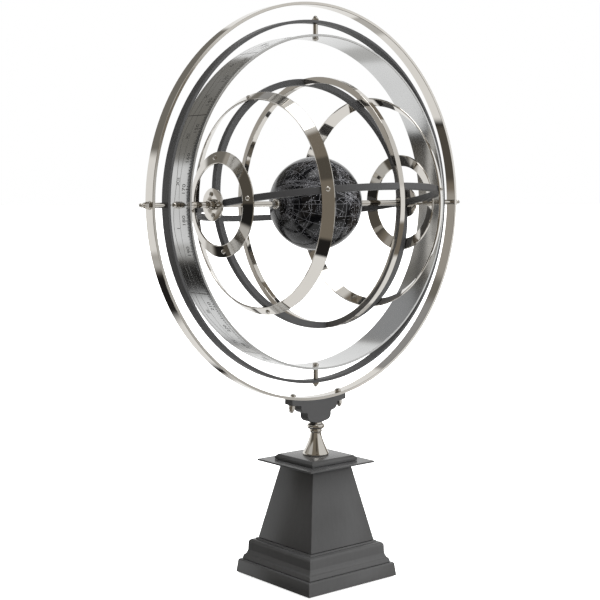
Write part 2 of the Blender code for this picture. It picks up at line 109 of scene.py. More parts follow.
back = Vector((-math.sin(YAW) * math.cos(PITCH), -math.cos(YAW) * math.cos(PITCH),
               math.sin(PITCH)))
right = Vector((math.cos(YAW), -math.sin(YAW), 0))
up = back.cross(right)
lens = bpy.data.cameras.new("camera")
lens.sensor_width = 36
lens.lens = 77.3
camera = bpy.data.objects.new("camera", lens)
bpy.context.scene.collection.objects.link(camera)
camera.location = CENTRE + back * DISTANCE + right * SLIDE_RIGHT + up * SLIDE_UP
turn = Matrix((right, up, back)).transposed().to_4x4() @ Matrix.Rotation(ROLL, 4, "Z")
camera.rotation_euler = turn.to_euler()
bpy.context.scene.camera = camera
bpy.context.scene.view_settings.view_transform = "Standard"
print("camera at", [round(v, 3) for v in camera.location])

# %% [markdown]
# ## Shader sums
# Patterns such as engraved lines are arithmetic on positions. Wiring that by hand is
# slow to read, so one small class lets a node's output take part in a Python sum.

# %% A socket that can be added, multiplied and compared
class Socket:
    """A node's output; sums on it add Math nodes, and node() adds any other node."""

    def __init__(self, tree, port=None):
        self.tree = tree
        self.port = port

    def node(self, kind, settings=None, sockets=None, out=0):
        made = self.tree.nodes.new("ShaderNode" + kind)
        for name, value in (settings or {}).items():
            setattr(made, name, value)
        for name, value in (sockets or {}).items():
            if isinstance(value, Socket):
                self.tree.links.new(value.port, made.inputs[name])
            else:
                made.inputs[name].default_value = value
        return Socket(self.tree, made.outputs[out])

    def maths(self, operation, first, second=0.0):
        return self.node("Math", {"operation": operation}, {0: first, 1: second})

    def __add__(self, other):
        return self.maths("ADD", self, other)

    __radd__ = __add__

    def __sub__(self, other):
        return self.maths("SUBTRACT", self, other)

    def __rsub__(self, other):
        return self.maths("SUBTRACT", other, self)

    def __mul__(self, other):
        return self.maths("MULTIPLY", self, other)

    __rmul__ = __mul__

    def __truediv__(self, other):
        return self.maths("DIVIDE", self, other)

    def __lt__(self, other):
        return self.maths("LESS_THAN", self, other)

    def __gt__(self, other):
        return self.maths("GREATER_THAN", self, other)

    def __abs__(self):
        return self.maths("ABSOLUTE", self)

    def __mod__(self, other):
        return self.maths("FLOORED_MODULO", self, other)


# %% Words that every finish uses
def greatest(*masks):
    """The strongest of several masks at each point."""
    found = masks[0]
    for mask in masks[1:]:
        found = found.maths("MAXIMUM", found, mask)
    return found


def off_multiple(value, step):
    """How far a value is from the nearest whole multiple of step."""
    return abs((value / step + 0.5) % 1 - 0.5) * step


def blend(factor, first, second):
    """A colour between first, where the factor is 0, and second, where it is 1."""
    return factor.node("Mix", {"data_type": "RGBA"}, {0: factor, 6: first, 7: second}, 2)


def new_finish(name, **constants):
    """A material, its start socket, its Principled shader and its object position."""
    material = bpy.data.materials.new(name)
    material.use_nodes = True
    start = Socket(material.node_tree)
    shader = material.node_tree.nodes["Principled BSDF"]
    for socket, value in constants.items():
        shader.inputs[socket.replace("_", " ")].default_value = value
    place = start.node("TexCoord", out="Object")
    return material, start, shader, place


def noise(place, scale, detail=3.0, roughness=0.5):
    sockets = {"Vector": place, "Scale": scale, "Detail": detail, "Roughness": roughness}
    return place.node("TexNoise", {}, sockets, "Fac")


def drive(shader, name, value):
    value.tree.links.new(value.port, shader.inputs[name])


def bump(shader, height, depth, strength=1.0):
    """Presses the height into the surface; depth is in metres."""
    made = height.node("Bump", {}, {"Height": height, "Distance": depth,
                                    "Strength": strength}, "Normal")
    drive(shader, "Normal", made)


# %% [markdown]
# ## Nickel
# Plated strip is a mirror, but never an even one: rolling leaves it very slightly
# wavy, and hands leave faint duller patches. The colour is warmer than chrome. Broad
# noise moves the roughness a little, and a long shallow bump bends the reflections.

# %% Polished nickel
NICKEL_COLOUR = (0.70, 0.675, 0.635, 1)
NICKEL_SHADE = (0.63, 0.605, 0.565, 1)


def polished_nickel():
    material, _, shader, place = new_finish("polished_nickel", Metallic=1.0)
    patches = noise(place, 14, 4)
    scuffs = noise(place, 420, 2)
    drive(shader, "Base Color", blend(patches, NICKEL_COLOUR, NICKEL_SHADE))
    drive(shader, "Roughness", 0.012 + patches * 0.04 + scuffs * 0.02)
    bump(shader, noise(place, 26, 1) + scuffs * 0.01, 0.35 * MM, 0.3)
    return material


NICKEL = polished_nickel()
print("made", NICKEL.name)

# %% [markdown]
# The broad band is the same plating with a dial engraved on its outside: two lines
# that follow the edges, a cross line at each panel, and a scale of degrees. On the
# real band the panels hold names; here they hold plain numbers and a wavy line. The
# pattern is worked out from the angle round the ring, so it can't stretch or slip.

# %% Engraved nickel
BAND_RADIUS = size("wide_band").x / 2
BAND_HALF = size("wide_band").y / 2
PANEL = 30.0                      # degrees from one cross line to the next
LINE = 0.75 * MM
EDGE_LINE = 5 * MM                # how far in from each edge the long lines run
SHORT_TICK = 8 * MM
LONG_TICK = 10 * MM
WAVE_LINE = 10 * MM               # height of the wavy line above the middle
WAVE_RISE = 3.2 * MM
WAVES = 12                        # waves in a whole turn
PLATE_LIGHT = (0.66, 0.665, 0.665, 1)
PLATE_DULL = (0.58, 0.585, 0.585, 1)
CUT_COLOUR = (0.10, 0.098, 0.092, 1)


def engraved_nickel():
    material, start, shader, place = new_finish("engraved_nickel", Metallic=1.0)
    moved = start.node("Mapping", {}, {"Vector": place, "Location": -CENTRE})
    x = moved.node("SeparateXYZ", {}, {0: moved}, 0)
    y = moved.node("SeparateXYZ", {}, {0: moved}, 1)
    z = moved.node("SeparateXYZ", {}, {0: moved}, 2)
    degrees = x.maths("ARCTAN2", z, x) * (180 / math.pi)
    radius = x.maths("SQRT", x * x + z * z)
    outside = radius > BAND_RADIUS - 0.8 * MM
    degree = BAND_RADIUS * math.pi / 180
    across = abs(y)

    edges = abs(across - BAND_HALF + EDGE_LINE) * 2 < LINE
    within = across < BAND_HALF - EDGE_LINE
    panels = (off_multiple(degrees, PANEL) * degree * 2 < LINE * 1.6) * within
    ones = (off_multiple(degrees, 1) * degree * 2 < LINE) * (y < SHORT_TICK - BAND_HALF)
    fives = off_multiple(degrees, 5) * degree * 2 < LINE * 1.2
    fives = fives * (y < LONG_TICK - BAND_HALF)
    ticks = greatest(ones, fives) * within
    wave = x.maths("SINE", degrees * (math.pi / 180 * WAVES)) * WAVE_RISE
    curl = abs(y - WAVE_LINE - wave) * 2 < LINE
    rule = abs(y + 1 * MM) * 2 < LINE * 0.7
    cut = greatest(edges, panels, ticks, curl, rule) * outside

    patches = noise(place, 12, 4)
    hairs = noise(start.node("Mapping", {}, {"Vector": place, "Scale": (1, 60, 1)}), 30, 3)
    plate = blend(patches, PLATE_LIGHT, PLATE_DULL)
    drive(shader, "Base Color", blend(cut, plate, CUT_COLOUR))
    drive(shader, "Roughness", 0.09 + patches * 0.07 + hairs * 0.06 + cut * 0.3)
    bump(shader, hairs * 0.05 + patches * 0.3 - cut, 0.2 * MM, 0.35)
    return material


ENGRAVED = engraved_nickel()
print("made", ENGRAVED.name, "for a band of radius", round(BAND_RADIUS, 4))

# %% [markdown]
# ## Charcoal paint
# The middle ring, the cage bars and the saddle are sprayed a satin charcoal. Sprayed
# paint has a fine orange peel, and its sheen varies from place to place.

# %% Charcoal paint on metal
def charcoal_paint():
    material, _, shader, place = new_finish("charcoal_paint")
    patches = noise(place, 22, 4)
    peel = noise(place, 900, 2)
    drive(shader, "Base Color",
          blend(patches, (0.042, 0.042, 0.044, 1), (0.062, 0.062, 0.063, 1)))
    drive(shader, "Roughness", 0.34 + patches * 0.14 + peel * 0.06)
    bump(shader, peel, 0.06 * MM, 0.4)
    return material


CHARCOAL = charcoal_paint()

# %% [markdown]
# The pedestal's paint is darker and a little glossier. It is brushed on, so faint
# strokes run along it and the tone drifts slowly over each face.

# %% Paint on the base
def base_paint():
    material, start, shader, place = new_finish("base_paint", Specular_IOR_Level=0.4)
    drift = noise(place, 7, 5, 0.6)
    stretch = start.node("Mapping", {}, {"Vector": place, "Scale": (1, 1, 0.12)})
    strokes = noise(stretch, 260, 3)
    speck = noise(place, 1400, 2)
    drive(shader, "Base Color",
          blend(drift * 0.7 + strokes * 0.3, (0.040, 0.040, 0.041, 1),
                (0.066, 0.066, 0.066, 1)))
    drive(shader, "Roughness", 0.15 + drift * 0.08 + strokes * 0.06)
    bump(shader, strokes * 0.6 + speck * 0.4, 0.08 * MM, 0.5)
    return material


BASE = base_paint()

# %% [markdown]
# ## Globe
# The globe is gloss black with a pale printed star chart. The chart is drawn from the
# direction of each point: a net of longitude and latitude, rings round the poles, a
# tilted great circle, stars as dots, and fine broken lines between them.

# %% Printed chart on black lacquer
GLOBE_CENTRE = middle("globe")
GLOBE_RADIUS = size("globe").z / 2
NET = 15                          # degrees between the lines of the net
THIN = 0.24                       # half a printed line's width in degrees
LACQUER_BLACK = (0.004, 0.004, 0.005, 1)
INK = (0.62, 0.62, 0.66, 1)


def globe_lacquer():
    material, start, shader, place = new_finish(
        "globe_lacquer", Specular_IOR_Level=0.35)
    moved = start.node("Mapping", {}, {"Vector": place, "Location": -GLOBE_CENTRE})
    x = moved.node("SeparateXYZ", {}, {0: moved}, 0) / GLOBE_RADIUS
    y = moved.node("SeparateXYZ", {}, {0: moved}, 1) / GLOBE_RADIUS
    z = moved.node("SeparateXYZ", {}, {0: moved}, 2) / GLOBE_RADIUS
    to_degrees = 180 / math.pi
    spread = x.maths("SQRT", y * y + z * z)
    latitude = x.maths("ARCTAN2", x, spread) * to_degrees
    longitude = x.maths("ARCTAN2", y, z) * to_degrees

    parallels = off_multiple(latitude, NET) < THIN
    meridians = (off_multiple(longitude, NET) * spread < THIN) * (abs(latitude) < 75)
    around_pole = (off_multiple(latitude, 4) < THIN * 0.8) * (abs(latitude) > 66)
    pole_ticks = (off_multiple(longitude, 6) * spread < 0.3) * (abs(latitude) > 70)
    pole_ticks = pole_ticks * (abs(latitude) < 74)
    tilted = abs(z * 0.917 + y * 0.2 + x * 0.398)
    ecliptic = greatest(abs(tilted - 0.03) < 0.004, abs(tilted - 0.06) < 0.004)

    web = moved.node("TexVoronoi", {"feature": "DISTANCE_TO_EDGE"},
                     {"Vector": moved, "Scale": 95.0})
    broken = noise(moved, 55, 2)
    lines = (web < 0.022) * (broken > 0.5)
    dots = moved.node("TexVoronoi", {}, {"Vector": moved, "Scale": 330.0})
    stars = (dots < 0.2) * (noise(moved, 40, 2) > 0.46)
    row = (latitude / 1.9 % 1) < 0.42
    letters = noise(moved.node("CombineXYZ", {}, {0: longitude * 0.9, 1: latitude * 0.35}),
                    2.6, 2, 0.8) > 0.52
    captions = row * letters * (noise(moved, 34, 1) > 0.58)

    strong = greatest(parallels * 0.5, meridians * 0.45, around_pole * 0.6,
                      pole_ticks * 0.6, ecliptic * 0.75, lines * 0.5, stars * 0.9,
                      captions * 0.55)
    ink = strong * (noise(moved, 60, 3) * 1.1 - 0.12)
    drive(shader, "Base Color", blend(ink, LACQUER_BLACK, INK))
    drive(shader, "Roughness", 0.10 + ink * 0.15 + noise(moved, 30, 3) * 0.06)
    return material


LACQUER = globe_lacquer()

# %% Steel and felt for the parts under the base
def plain_steel():
    material, _, shader, place = new_finish("plain_steel", Metallic=1.0)
    grain = noise(place, 300, 3)
    drive(shader, "Base Color", blend(grain, (0.40, 0.40, 0.41, 1), (0.5, 0.5, 0.5, 1)))
    drive(shader, "Roughness", 0.28 + grain * 0.15)
    return material


def felt():
    material, _, shader, place = new_finish("felt", Roughness=0.95)
    fibres = noise(place, 1600, 4, 0.7)
    drive(shader, "Base Color", blend(fibres, (0.02, 0.02, 0.02, 1), (0.05, 0.05, 0.05, 1)))
    bump(shader, fibres, 0.3 * MM, 0.8)
    return material


FINISHES = {"polished_nickel": NICKEL, "engraved_nickel": ENGRAVED,
            "charcoal_paint": CHARCOAL, "base_paint": BASE, "globe_lacquer": LACQUER,
            "plain_steel": plain_steel(), "felt": felt()}
print("finishes:", ", ".join(FINISHES))

# %% [markdown]
# ## From a bmesh to a piece
# Real edges are never perfectly sharp, and a small round on each one catches a line
# of light. Every piece goes through the same end: its normals are turned outwards,
# its sharp edges are bevelled, and it takes its node's place.

# %% Finish a piece
SHARP_FROM = math.radians(18)     # keeps flat strip flat right up to its rounded edge


def break_edges(bm, width, segments=2, angle=30):
    """Rounds every edge that turns by more than the angle, in degrees."""
    limit = math.radians(angle)
    sharp = [e for e in bm.edges if len(e.link_faces) == 2
             and e.calc_face_angle(0) > limit]
    if sharp:
        bmesh.ops.bevel(bm, geom=sharp, offset=width, offset_type="OFFSET",
                        affect="EDGES", segments=segments, profile=0.5, material=-1,
                        clamp_overlap=True)


def new_object(bm, name, finish):
    """Turns a bmesh into a smooth-shaded object, its faces pointing outwards."""
    bmesh.ops.recalc_face_normals(bm, faces=bm.faces)
    mesh = bpy.data.meshes.new(name)
    bm.to_mesh(mesh)
    bm.free()
    mesh.shade_smooth()
    mesh.set_sharp_from_angle(angle=SHARP_FROM)
    mesh.materials.append(FINISHES[finish])
    obj = bpy.data.objects.new(name, mesh)
    bpy.context.scene.collection.objects.link(obj)
    return obj


def stand_for(bm, node, bevel=0.0, segments=2):
    """The bmesh becomes the fine form of a CAD node, on its body and in its slot."""
    if bevel:
        break_edges(bm, bevel, segments)
    obj = new_object(bm, node + "_fine", SLOT_OF[node])
    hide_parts(node)
    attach(obj, BODY_OF[node])
    return obj


def add_trim(bm, name, body, finish="polished_nickel"):
    """A small piece that no CAD node stands for."""
    obj = new_object(bm, name, finish)
    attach(obj, body)
    return obj


# %% Turn a profile
def turned(profile, steps, place=Matrix(), closed=False):
    """A bmesh of (radius, height) points spun once about Z, then put in its place."""
    bm = bmesh.new()
    points = [bm.verts.new((radius, 0, height)) for radius, height in profile]
    lines = [bm.edges.new(pair) for pair in zip(points, points[1:])]
    if closed:
        lines.append(bm.edges.new((points[-1], points[0])))
    bmesh.ops.spin(bm, geom=points + lines, cent=(0, 0, 0), axis=(0, 0, 1),
                   angle=math.tau, steps=steps, use_merge=True)
    bmesh.ops.remove_doubles(bm, verts=bm.verts, dist=0.00001)
    bmesh.ops.transform(bm, matrix=place, verts=bm.verts)
    bmesh.ops.recalc_face_normals(bm, faces=bm.faces)
    return bm


def arc(centre, radius, start, end, count):
    """Points on an arc, from one angle to another in degrees."""
    points = []
    for i in range(count + 1):
        angle = math.radians(start + (end - start) * i / count)
        points.append((centre[0] + radius * math.cos(angle),
                       centre[1] + radius * math.sin(angle)))
    return points


def pointing(direction, at=CENTRE):
    """A frame at a point, with its Z axis along the direction."""
    spin = Vector(direction).normalized().to_track_quat("Z", "Y").to_matrix().to_4x4()
    return Matrix.Translation(at) @ spin


def slide(place, height):
    return place @ Matrix.Translation((0, 0, height))


# %% [markdown]
# ## The three large rings
# Each is a flat strip rolled into a hoop. Spinning its four-cornered section keeps
# the strip square, and 240 steps keep the mirror's reflections from breaking up.

# %% Outer ring, middle ring and wide band
RING_STEPS = 240
HOOP_WALL = {"outer_ring": 4 * MM, "middle_ring": 4 * MM, "wide_band": 3 * MM}


def section(outer, wall, width):
    half = width / 2
    return [(outer, half), (outer, -half), (outer - wall, -half), (outer - wall, half)]


for node, wall in HOOP_WALL.items():
    extent = size(node)
    profile = section(extent.x / 2, wall, extent.y)
    hoop = turned(profile, RING_STEPS, pointing((0, -1, 0)), closed=True)
    stand_for(hoop, node, 0.45 * MM)
    print(node, "diameter", round(extent.x * 1000, 1), "mm")

# %% [markdown]
# ## Numbers on the band
# Text lies flat, so each number is made as text, turned into a mesh, and then bent
# round the band: its left-to-right run becomes an angle and its height a width. It is
# raised by a hair so that it shows as an etched mark.

# %% Degree numbers and hours
NUMBER_HEIGHT = 9.5 * MM
HOUR_HEIGHT = 9 * MM
MARK_PROUD = 0.05 * MM
ROMAN = ("I", "II", "III", "IV", "V", "VI", "VII", "VIII", "IX", "X", "XI", "XII")


def flat_text(words, height):
    """A bmesh of the words, centred on the origin in the XY plane."""
    curve = bpy.data.curves.new("words", "FONT")
    curve.body = words
    curve.size = height
    curve.align_x = "CENTER"
    curve.align_y = "CENTER"
    curve.resolution_u = 3
    shape = bpy.data.objects.new("words", curve)
    bpy.context.scene.collection.objects.link(shape)
    graph = bpy.context.evaluated_depsgraph_get()
    mesh = bpy.data.meshes.new_from_object(shape.evaluated_get(graph))
    bm = bmesh.new()
    bm.from_mesh(mesh)
    bpy.data.objects.remove(shape, do_unlink=True)
    bpy.data.meshes.remove(mesh)
    return bm


def marks_round(texts, height, across, step):
    """Texts laid along the outside of the band, one every step degrees."""
    everything = bmesh.new()
    for i, words in enumerate(texts):
        one = flat_text(words, height)
        bmesh.ops.subdivide_edges(one, edges=one.edges, cuts=1)
        bmesh.ops.remove_doubles(one, verts=one.verts, dist=0.000001)
        bmesh.ops.solidify(one, geom=one.faces, thickness=MARK_PROUD)
        base = math.radians(step * (i + 0.5))
        low = min(v.co.z for v in one.verts)
        for v in one.verts:
            angle = base - v.co.x / BAND_RADIUS
            reach = BAND_RADIUS + v.co.z - low + 0.01 * MM
            v.co = CENTRE + Vector((reach * math.cos(angle), across + v.co.y,
                                    reach * math.sin(angle)))
        spare = bpy.data.meshes.new("spare")
        one.to_mesh(spare)
        one.free()
        everything.from_mesh(spare)
        bpy.data.meshes.remove(spare)
    return everything


def mark_paint():
    material, _, shader, place = new_finish("etched_mark", Metallic=0.6)
    grain = noise(place, 700, 2)
    drive(shader, "Base Color",
          blend(grain, (0.075, 0.073, 0.07, 1), (0.12, 0.118, 0.112, 1)))
    drive(shader, "Roughness", 0.4 + grain * 0.2)
    return material


FINISHES["etched_mark"] = mark_paint()
band_body = BODY_OF["wide_band"]
for name, words, height, across, step in (
        ("degree_numbers", [str(i * 10) for i in range(36)], NUMBER_HEIGHT, -10.5 * MM, 10),
        ("hour_numbers", ROMAN + ROMAN, HOUR_HEIGHT, 3.2 * MM, 15)):
    marks = new_object(marks_round(words, height, across, step), name, "etched_mark")
    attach(marks, band_body)
    print(name, len(words), "marks,", len(marks.data.polygons), "faces")

# %% [markdown]
# ## The inner cage
# Two ring frames of square bar cross at the poles, and a third lies round the middle.
# The bars are half-lapped, so each is notched where it meets the other. The notches
# are cut with a Boolean, which is applied at once so that no cutter is left behind.

# %% Cut one shape with another
def carve(bm, tool, operation="DIFFERENCE"):
    """The bmesh with the tool's shape taken out of it, or joined to it."""
    pair = []
    for shape in (bm, tool):
        mesh = bpy.data.meshes.new("carve")
        shape.to_mesh(mesh)
        shape.free()
        pair.append(bpy.data.objects.new("carve", mesh))
        bpy.context.scene.collection.objects.link(pair[-1])
    modifier = pair[0].modifiers.new("Cut", "BOOLEAN")
    modifier.object = pair[1]
    modifier.operation = operation
    graph = bpy.context.evaluated_depsgraph_get()
    result = bpy.data.meshes.new_from_object(pair[0].evaluated_get(graph))
    out = bmesh.new()
    out.from_mesh(result)
    bmesh.ops.remove_doubles(out, verts=out.verts, dist=0.000002)
    for shape in pair:
        mesh = shape.data
        bpy.data.objects.remove(shape, do_unlink=True)
        bpy.data.meshes.remove(mesh)
    bpy.data.meshes.remove(result)
    return out


def block(dimensions, place):
    bm = bmesh.new()
    bmesh.ops.create_cube(bm, size=1)
    bmesh.ops.scale(bm, vec=dimensions, verts=bm.verts)
    bmesh.ops.transform(bm, matrix=place, verts=bm.verts)
    return bm


# %% Meridian bars and equator
BAR = 8.5 * MM
CAGE_RADIUS = 174 * MM
CAGE_TURN = math.radians(-8)
POLE_CUT = 6.5 * MM
CAGE = Matrix.Translation(CENTRE) @ Matrix.Rotation(CAGE_TURN, 4, "X")
AXLE_TURN = Vector((1, 0, 0)).to_track_quat("Z", "Y").to_matrix().to_4x4()


def meridian_bar(turn_angle):
    """Half a square-bar hoop from pole to pole, notched over the equator."""
    inside = CAGE_RADIUS - BAR
    start = math.asin(POLE_CUT / inside)
    bm = bmesh.new()
    corners = []
    for radius, side in ((inside, -1), (CAGE_RADIUS, -1), (CAGE_RADIUS, 1), (inside, 1)):
        corners.append(bm.verts.new((radius * math.sin(start), side * BAR / 2,
                                     radius * math.cos(start))))
    sides = [bm.edges.new((corners[i], corners[(i + 1) % 4])) for i in range(4)]
    bmesh.ops.spin(bm, geom=corners + sides, cent=(0, 0, 0), axis=(0, 1, 0),
                   angle=math.pi - 2 * start, steps=RING_STEPS // 2)
    bmesh.ops.holes_fill(bm, edges=bm.edges, sides=4)
    bmesh.ops.recalc_face_normals(bm, faces=bm.faces)
    break_edges(bm, 0.5 * MM)
    floor = CAGE_RADIUS - BAR / 2 - GAP / 2
    notch = block((20 * MM, BAR * 2, BAR + 2 * GAP),
                  Matrix.Translation((floor + 10 * MM, 0, 0)))
    bm = carve(bm, notch)
    place = CAGE @ AXLE_TURN @ Matrix.Rotation(turn_angle, 4, "Z")
    bmesh.ops.transform(bm, matrix=place, verts=bm.verts)
    return bm


for i in range(4):
    stand_for(meridian_bar(i * math.pi / 2), f"meridian_{i + 1}")

equator = turned(section(CAGE_RADIUS, BAR, BAR), RING_STEPS, closed=True)
break_edges(equator, 0.5 * MM)
ceiling = CAGE_RADIUS - BAR / 2 + GAP / 2
for i in range(4):
    turn_notch = Matrix.Rotation(i * math.pi / 2, 4, "Z")
    notch = block((20 * MM, BAR + 2 * GAP, BAR * 2),
                  turn_notch @ Matrix.Translation((ceiling - 10 * MM, 0, 0)))
    equator = carve(equator, notch)
bmesh.ops.transform(equator, matrix=CAGE @ AXLE_TURN, verts=equator.verts)
stand_for(equator, "equator_ring")
print("four bars and the equator, notched")

# %% [markdown]
# The tropic and polar bands are flat strip bent into cones, so they lie flat against
# the round of the cage. Turning a tilted section gives the cone directly.

# %% Tropic and polar bands
BAND_CLEAR = 0.5 * MM
STRIP = 2.5 * MM
STRIP_WIDTH = 17 * MM
STRIP_ROUND = 0.8 * MM
LATITUDES = {"tropic_ring": math.radians(35), "polar_ring": math.radians(69.5)}


def cage_side(sign):
    """Frame at the cage's centre, with Z towards its left or right pole."""
    return pointing((sign, 0, 0), (0, 0, 0))


def conical_band(latitude, sign):
    radial = Vector((math.cos(latitude), math.sin(latitude)))
    along = Vector((math.sin(latitude), -math.cos(latitude))) * STRIP_WIDTH / 2
    near = radial * (CAGE_RADIUS + BAND_CLEAR)
    far = radial * (CAGE_RADIUS + BAND_CLEAR + STRIP)
    profile = [tuple(p) for p in (far - along, far + along, near + along, near - along)]
    return turned(profile, RING_STEPS, CAGE @ cage_side(sign), closed=True)


SIDES = ((-1, "left"), (1, "right"))
for kind, latitude in LATITUDES.items():
    for sign, word in SIDES:
        stand_for(conical_band(latitude, sign), f"{kind}_{word}", STRIP_ROUND)

# %% [markdown]
# ## Hubs, axle and collars
# A disc closes each pole. The axle passes through both discs and the globe, and a
# small collar holds each of them in place along it.

# %% Discs, axle and collars
HOLE = 4.3 * MM
DRILL = 1.5 * MM                  # radius of the set screw's hole
DRILL_DEPTH = 2.5 * MM
GRUB_OUT = Vector((0, -0.64, 0.77))   # the way each collar's set screw faces
for sign, word in SIDES:
    node = f"hub_disc_{word}"
    low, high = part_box(node)
    faces = sorted((abs(low.x), abs(high.x)))
    radius = size(node).z / 2
    profile = [(radius, faces[1]), (radius, faces[0]), (HOLE, faces[0]), (HOLE, faces[1])]
    disc = turned(profile, 96, CAGE @ cage_side(sign), closed=True)
    stand_for(disc, node, 0.6 * MM, 3)
    for kind in ("hub_collar", "globe_collar"):
        node = f"{kind}_{word}"
        low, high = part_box(node)
        ends = sorted((abs(low.x), abs(high.x)))
        radius = size(node).z / 2
        profile = [(radius, ends[1]), (radius, ends[0]), (HOLE, ends[0]), (HOLE, ends[1])]
        collar = turned(profile, 64, pointing((sign, 0, 0)), closed=True)
        break_edges(collar, 0.8 * MM, 3)
        drill = turned([(0, radius + 1 * MM), (DRILL, radius + 1 * MM),
                        (DRILL, radius - DRILL_DEPTH), (0, radius - DRILL_DEPTH)], 32,
                       pointing(GRUB_OUT, middle(node)))
        stand_for(carve(collar, drill), node)

AXLE_RADIUS = size("axle").z / 2
THREAD_RADIUS = 2.5 * MM
axle_end = size("axle").x / 2
shoulder = BAND_RADIUS - HOOP_WALL["wide_band"] - 0.5 * MM
profile = [(0, axle_end), (THREAD_RADIUS, axle_end), (THREAD_RADIUS, shoulder),
           (AXLE_RADIUS, shoulder), (AXLE_RADIUS, -shoulder), (THREAD_RADIUS, -shoulder),
           (THREAD_RADIUS, -axle_end), (0, -axle_end)]
stand_for(turned(profile, 48, pointing((1, 0, 0))), "axle", 0.3 * MM)
print("axle radius", round(AXLE_RADIUS * 1000, 2), "mm")

# %% [markdown]
# ## Nuts and bolts
# A cap nut is a hexagon with a turned dome. The hexagon's corners are trimmed by the
# cone that a real nut is chamfered with, and the two shapes are joined by a Boolean.

# %% Bolts, sleeves and washers
SHANK = 2.5 * MM
HEAD = 4.5 * MM
HEAD_RISE = 3.6 * MM
NUT_CORNER = 8 * MM / math.sqrt(3)


def bolt(place, head_at, tip_at):
    """A round-headed bolt along Z, its dome towards the rings' centre."""
    dome = [(HEAD * math.cos(a), head_at - 0.6 * MM - (HEAD_RISE - 0.6 * MM) * math.sin(a))
            for a in (math.pi / 2 * i / 8 for i in range(9))]
    dome[-1] = (0, dome[-1][1])
    profile = [(0, tip_at), (SHANK, tip_at), (SHANK, head_at), (HEAD, head_at)] + dome
    return turned(profile, 48, place)


def ring_piece(place, outer, inner, low, high):
    profile = [(outer, high), (outer, low), (inner, low), (inner, high)]
    return turned(profile, 48, place, closed=True)


def hexagon(place, height):
    """A hexagon nut body seated at height 0, its corners trimmed by a cone."""
    bm = bmesh.new()
    bmesh.ops.create_cone(bm, cap_ends=True, segments=6, radius1=NUT_CORNER,
                          radius2=NUT_CORNER, depth=height,
                          matrix=Matrix.Translation((0, 0, height / 2)))
    flat = NUT_CORNER * math.cos(math.pi / 6)
    trim = [(0, height + 0.05 * MM), (flat - 0.1 * MM, height + 0.05 * MM),
            (NUT_CORNER + 0.05 * MM, height - 0.5 * MM),
            (NUT_CORNER + 0.05 * MM, -0.05 * MM), (0, -0.05 * MM)]
    bm = carve(bm, turned(trim, 48), "INTERSECT")
    bmesh.ops.transform(bm, matrix=place, verts=bm.verts)
    return bm


def capped(place, cap_profile, height):
    nut = carve(hexagon(Matrix(), height), turned(cap_profile, 48), "UNION")
    bmesh.ops.transform(nut, matrix=place, verts=nut.verts)
    return nut


def dome_cap(radius, base, top):
    points = [(radius * math.cos(a), base + (top - base) * math.sin(a))
              for a in (math.pi / 2 * i / 10 for i in range(11))]
    points[-1] = (0, top)
    return points[::-1] + [(radius, base - 1 * MM), (0, base - 1 * MM)]


def ball_cap():
    profile = [(0, 13 * MM)] + arc((0, 10 * MM), 3 * MM, 85, -50, 12)
    profile += [(1.9 * MM, 6.6 * MM), (3.7 * MM, 6 * MM), (3.7 * MM, 3 * MM), (0, 3 * MM)]
    return profile


# %% Pivots, saddle bolts and axle nuts
RING_WALL = HOOP_WALL["outer_ring"]
MIDDLE_RADIUS = size("middle_ring").x / 2
SADDLE_BOLT_OFFSET = 42 * MM
SADDLE_WING = 7.5 * MM
SEAT = RING_RADIUS + GAP + SADDLE_WING
SLEEVE = 3.5 * MM
WASHER = 5.5 * MM
BORE = 2.8 * MM                   # of every sleeve and washer
WASHER_THICK = 1 * MM
TALL_NUT = 4.5 * MM
TALL_DOME = dome_cap(3.7 * MM, 4.7 * MM, 10 * MM)
LOW_NUT = 2.6 * MM
LOW_DOME = dome_cap(3.3 * MM, 2.8 * MM, 6.6 * MM)
for sign, word in SIDES:
    side = pointing((sign, 0, 0))
    stand_for(bolt(side, MIDDLE_RADIUS - RING_WALL - GAP, RING_RADIUS + 5 * MM),
              f"side_bolt_{word}")
    stand_for(ring_piece(side, SLEEVE, BORE, MIDDLE_RADIUS + 0.4 * MM,
                         RING_RADIUS - RING_WALL - 0.6 * MM), f"side_sleeve_{word}", 0.2 * MM)
    stand_for(ring_piece(side, WASHER, BORE, RING_RADIUS + GAP,
                         RING_RADIUS + GAP + WASHER_THICK), f"side_washer_{word}", 0.25 * MM)
    stand_for(capped(slide(side, RING_RADIUS + WASHER_THICK + 2 * GAP), ball_cap(), 4 * MM),
              f"side_finial_{word}")
    stand_for(capped(slide(side, BAND_RADIUS + GAP), TALL_DOME, TALL_NUT),
              f"axle_nut_{word}")

    lean = math.asin(SADDLE_BOLT_OFFSET / RING_RADIUS) * sign
    down = pointing((math.sin(lean), 0, -math.cos(lean)))
    stand_for(bolt(down, RING_RADIUS - RING_WALL - 2 * GAP, SEAT + 7 * MM),
              f"saddle_bolt_{word}")
    stand_for(ring_piece(down, WASHER, BORE, SEAT + GAP, SEAT + GAP + WASHER_THICK),
              f"saddle_washer_{word}", 0.25 * MM)
    stand_for(capped(slide(down, SEAT + WASHER_THICK + 2 * GAP), TALL_DOME, TALL_NUT),
              f"saddle_cap_nut_{word}")

for sign, word in ((1, "top"), (-1, "bottom")):
    pole = pointing((0, 0, sign))
    stand_for(bolt(pole, BAND_RADIUS - HOOP_WALL["wide_band"] - GAP,
                   MIDDLE_RADIUS + 2.7 * MM), f"band_bolt_{word}")
    stand_for(ring_piece(pole, SLEEVE, BORE, BAND_RADIUS + 0.4 * MM,
                         MIDDLE_RADIUS - RING_WALL - 0.6 * MM), f"band_sleeve_{word}",
              0.2 * MM)
    stand_for(capped(slide(pole, MIDDLE_RADIUS + GAP), LOW_DOME, LOW_NUT),
              f"band_nut_{word}")
print("pivots, saddle bolts and axle nuts done")

